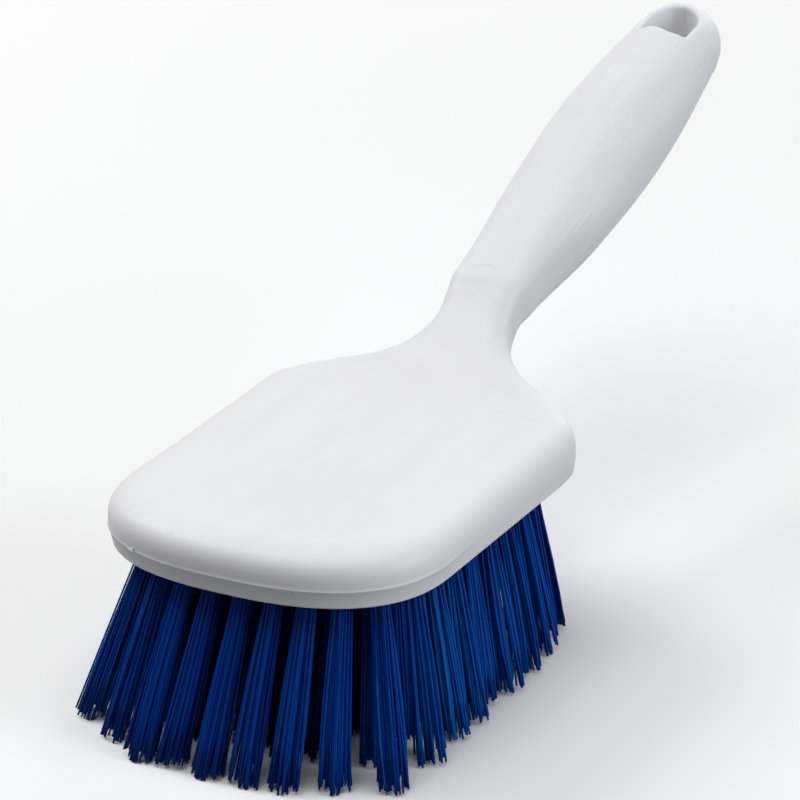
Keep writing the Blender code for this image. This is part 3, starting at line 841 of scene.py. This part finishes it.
tree.links.new(lined.outputs[0], shader.inputs["Normal"])

brushBody = newPiece("brushBody", bm, plastic)
carve(brushBody, holeCutter())
carve(brushBody, tuftHoles())
keepCorners(brushBody, body["crispFrom"])
brushBody.data.transform(Matrix.Translation((0.0, headFront, underside)) @ Matrix.Scale(mm, 4))
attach(brushBody, "root")
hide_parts("brush_body")
print("body moulded")

# a hair of flash that stayed on the parting line, at the left of the front
burr = {
    "at": -25.6, "thick": 0.34, "thinner": 0.3, "standsOut": 0.25, "sides": 8,
    "path": ((-1.3, 0.3), (-0.8, 0.15), (-0.4, -0.15), (-0.1, -0.3), (0.02, 0.0), (0.1, 0.4),
             (0.3, 0.75), (0.65, 0.9), (1.0, 0.8), (1.2, 0.5)),
}


def flashBurr():
    # a thin tube along the path, which is given as steps sideways and upwards
    front = body["frontDepth"] * (1 - (1 - (abs(burr["at"]) / (body["headWidth"] / 2))
                                       ** body["frontRoundness"]) ** (1 / body["frontRoundness"]))
    bm = bmesh.new()
    path = [Vector((burr["at"] + side, front - burr["standsOut"], body["rim"][0][1] + rise))
            for side, rise in burr["path"]]
    rings = []
    for number, point in enumerate(path):
        run = path[min(number + 1, len(path) - 1)] - path[max(number - 1, 0)]
        thin = 1 - burr["thinner"] * number / (len(path) - 1)
        turn = run.to_track_quat('Z', 'Y').to_matrix().to_4x4()
        made = bmesh.ops.create_circle(bm, cap_ends=number in (0, len(path) - 1),
                                       segments=burr["sides"], radius=burr["thick"] / 2 * thin,
                                       matrix=Matrix.Translation(point) @ turn)
        rings.append(made["verts"])
    for ring, following in zip(rings, rings[1:]):
        edges = [edge for edge in bm.edges
                 if set(edge.verts) <= set(ring) or set(edge.verts) <= set(following)]
        bmesh.ops.bridge_loops(bm, edges=edges)
    bmesh.ops.recalc_face_normals(bm, faces=bm.faces)
    bmesh.ops.scale(bm, vec=(mm, mm, mm), verts=bm.verts)
    bmesh.ops.translate(bm, vec=(0.0, headFront, underside), verts=bm.verts)
    return bm


hair = newPiece("flashBurr", flashBurr(), plastic)
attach(hair, "root")
print("flash set")

# polyester filament, extruded: deep blue all through and smooth, so each one carries a soft line
# of light; tufts, clumps and filaments differ a little in tone at random, light and shade are
# painted into the tone by where a tuft stands, stray filaments carry a painted highlight, and the
# roots are painted dark as painted shade
filamentLook = {
    "dark": "#001044", "middle": "#003898", "light": "#0050AC", "bright": "#0A74C4",
    "darkAt": 0.1, "middleAt": 0.38, "lightAt": 0.85, "brightAt": 1.0, "shaded": "#00103C",
    "ior": 1.57, "roughness": 0.5, "sheen": 0.06,
    "crimpSize": 1.6 * mm, "crimpStretch": 0.12, "crimpTone": 0.12,
    # painted shade at the roots: how dark it is, and how far down it reaches
    "rootShade": 0.4, "shadeFrom": 12 * mm,  # how dark the roots are, and how far down it reaches
}
polyester, tree, shader = newMaterial("blueFilament")
look = filamentLook
toneAndPaintedLight = addNode(tree, "ShaderNodeAttribute", {"attribute_name": "toneAndPaintedLight"})
colors = addNode(tree, "ShaderNodeValToRGB", {}, {0: toneAndPaintedLight.outputs["Fac"]})
band = colors.color_ramp
band.elements[0].position = look["darkAt"]
band.elements[0].color = linear(look["dark"])
band.elements[1].position = look["brightAt"]
band.elements[1].color = linear(look["bright"])
band.elements.new(look["middleAt"]).color = linear(look["middle"])
band.elements.new(look["lightAt"]).color = linear(look["light"])
place = addNode(tree, "ShaderNodeTexCoord").outputs["Object"]
height = addNode(tree, "ShaderNodeSeparateXYZ", {}, {0: place})
nearRoot = addNode(tree, "ShaderNodeMapRange", {1: underside - look["shadeFrom"], 2: underside},
                   {0: height.outputs[2]})
drawnOut = addNode(tree, "ShaderNodeMapping", {"Scale": (1.0, 1.0, look["crimpStretch"])},
                   {"Vector": place})
crimp = addNode(tree, "ShaderNodeTexNoise", {"Scale": 1 / look["crimpSize"], "Detail": 2.0},
                {"Vector": drawnOut.outputs[0]})
# painted shade, darker towards the roots, added to random crimp streaks
shade = addNode(tree, "ShaderNodeMath", {"operation": 'MULTIPLY', 1: look["rootShade"]},
                {0: nearRoot.outputs[0]})
streak = addNode(tree, "ShaderNodeMapRange", {3: -look["crimpTone"], 4: look["crimpTone"]},
                 {0: crimp.outputs["Fac"]})
rootShadeAndCrimp = addNode(tree, "ShaderNodeMath", {"operation": 'ADD', "use_clamp": True},
                 {0: shade.outputs[0], 1: streak.outputs[0]})
tinted = addNode(tree, "ShaderNodeMix", {"data_type": 'RGBA', 7: linear(look["shaded"])},
                 {0: rootShadeAndCrimp.outputs[0], 6: colors.outputs[0]})
tree.links.new(tinted.outputs[2], shader.inputs["Base Color"])
shader.inputs["Roughness"].default_value = look["roughness"]
shader.inputs["IOR"].default_value = look["ior"]
shader.inputs["Specular IOR Level"].default_value = look["sheen"]

chance = random.Random(bristles["seed"])
filament = straightFilament()
for row in range(bristles["rows"]):
    bristleRow = newPiece(f"bristleRow{row + 1:02d}", tuftRow(row, filament, chance), polyester)
    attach(bristleRow, "root")
    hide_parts(f"tuft_row_{row + 1:02d}")
bpy.data.meshes.remove(filament)
print("bristles set")

# steel wire, cold drawn flat and zinc plated: bright grey with a slightly clouded plating, all but
# hidden in the tuft holes
wireLook = {
    "bright": "#C2C4C6", "clouded": "#9A9DA1", "roughness": (0.28, 0.48), "cloudSize": 0.8 * mm,
}
wire, tree, shader = newMaterial("platedSteelWire")
look = wireLook
place = addNode(tree, "ShaderNodeTexCoord").outputs["Object"]
cloud = addNode(tree, "ShaderNodeTexNoise", {"Scale": 1 / look["cloudSize"], "Detail": 3.0},
                {"Vector": place})
plated = addNode(tree, "ShaderNodeMix", {"data_type": 'RGBA', 6: linear(look["bright"]),
                                         7: linear(look["clouded"])}, {0: cloud.outputs["Fac"]})
tree.links.new(plated.outputs[2], shader.inputs["Base Color"])
drawn = addNode(tree, "ShaderNodeMapRange", {3: look["roughness"][0], 4: look["roughness"][1]},
                {0: cloud.outputs["Fac"]})
tree.links.new(drawn.outputs[0], shader.inputs["Roughness"])
shader.inputs["Metallic"].default_value = 1.0
anchors = newPiece("tuftAnchors", tuftAnchors(), wire)
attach(anchors, "root")
print("anchors set")
